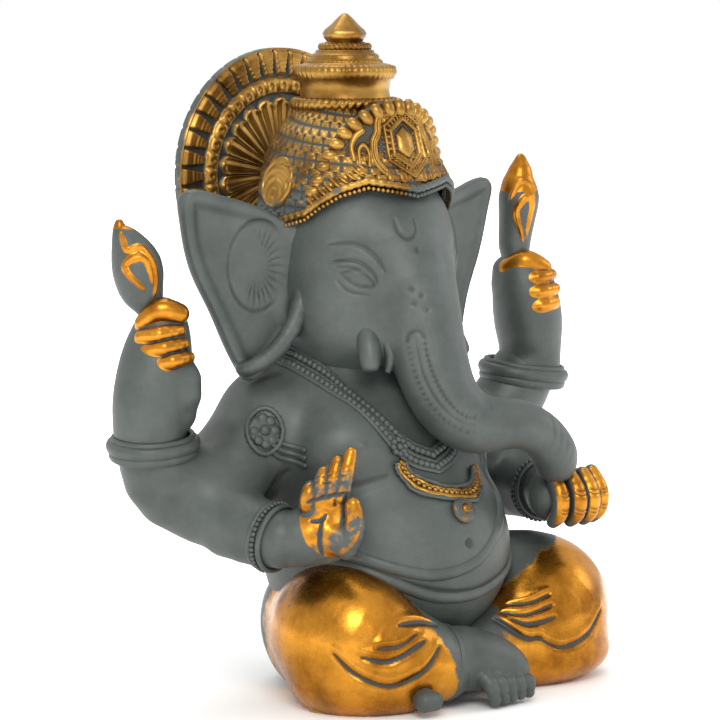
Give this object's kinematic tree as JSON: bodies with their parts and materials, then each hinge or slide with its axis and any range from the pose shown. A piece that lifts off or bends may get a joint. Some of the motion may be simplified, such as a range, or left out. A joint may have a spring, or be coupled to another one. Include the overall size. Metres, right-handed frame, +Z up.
{
  "type": "seated elephant-headed figurine",
  "caption": "Seated four-armed elephant-headed figure in cast brass, grey-green patina with rubbed golden crown, fan, hands and legs; stands on a flat base.",
  "frame": {"origin": "on the flat underside, on the axis of the tie rod that runs up to the crown", "axes": "+Z up, the figure faces -Y, its own right hand is on the -X side"},
  "size_m": [0.19, 0.112, 0.222],
  "materials": {
    "patinated_brass": "matt grey-green patina on cast brass",
    "gilded_brass": "rubbed golden brass with dark recesses",
    "plain_brass": "plain machined brass",
    "steel": "plain steel",
    "felt": "dark green felt"
  },
  "bodies": {
    "root": {"arm_dowels": "steel", "base_plate": "plain_brass", "bead_necklace": "patinated_brass", "belly_cord": "patinated_brass", "core_plugs": "plain_brass", "crown_bowl": "gilded_brass", "crown_finial": "gilded_brass", "crown_plaque": "gilded_brass", "crown_rim_band": "gilded_brass", "felt_pad": "felt", "halo_fan": "gilded_brass", "halo_stud": "steel", "head_casting": "patinated_brass", "left_armlet": "patinated_brass", "left_ear": "patinated_brass", "left_front_arm": "patinated_brass", "left_front_bangle": "patinated_brass", "left_front_hand": "patinated_brass", "left_implement": "gilded_brass", "left_leg": "gilded_brass", "left_rear_arm": "patinated_brass", "left_rear_bangle": "patinated_brass", "left_rear_hand": "patinated_brass", "left_rosette": "gilded_brass", "left_toes": "patinated_brass", "left_tusk": "patinated_brass", "leg_dowels": "steel", "pendant_necklace": "gilded_brass", "plate_screws": "steel", "right_anklet": "patinated_brass", "right_armlet": "patinated_brass", "right_ear": "patinated_brass", "right_foot": "patinated_brass", "right_front_arm": "patinated_brass", "right_front_bangle": "patinated_brass", "right_front_hand": "patinated_brass", "right_implement": "gilded_brass", "right_leg": "gilded_brass", "right_rear_arm": "patinated_brass", "right_rear_bangle": "patinated_brass", "right_rear_hand": "patinated_brass", "right_rosette": "gilded_brass", "right_tusk": "patinated_brass", "tie_nut": "steel", "tie_rod": "steel", "torso_casting": "patinated_brass", "waist_band": "patinated_brass", "wrist_pins": "steel"}
  },
  "joints": []
}
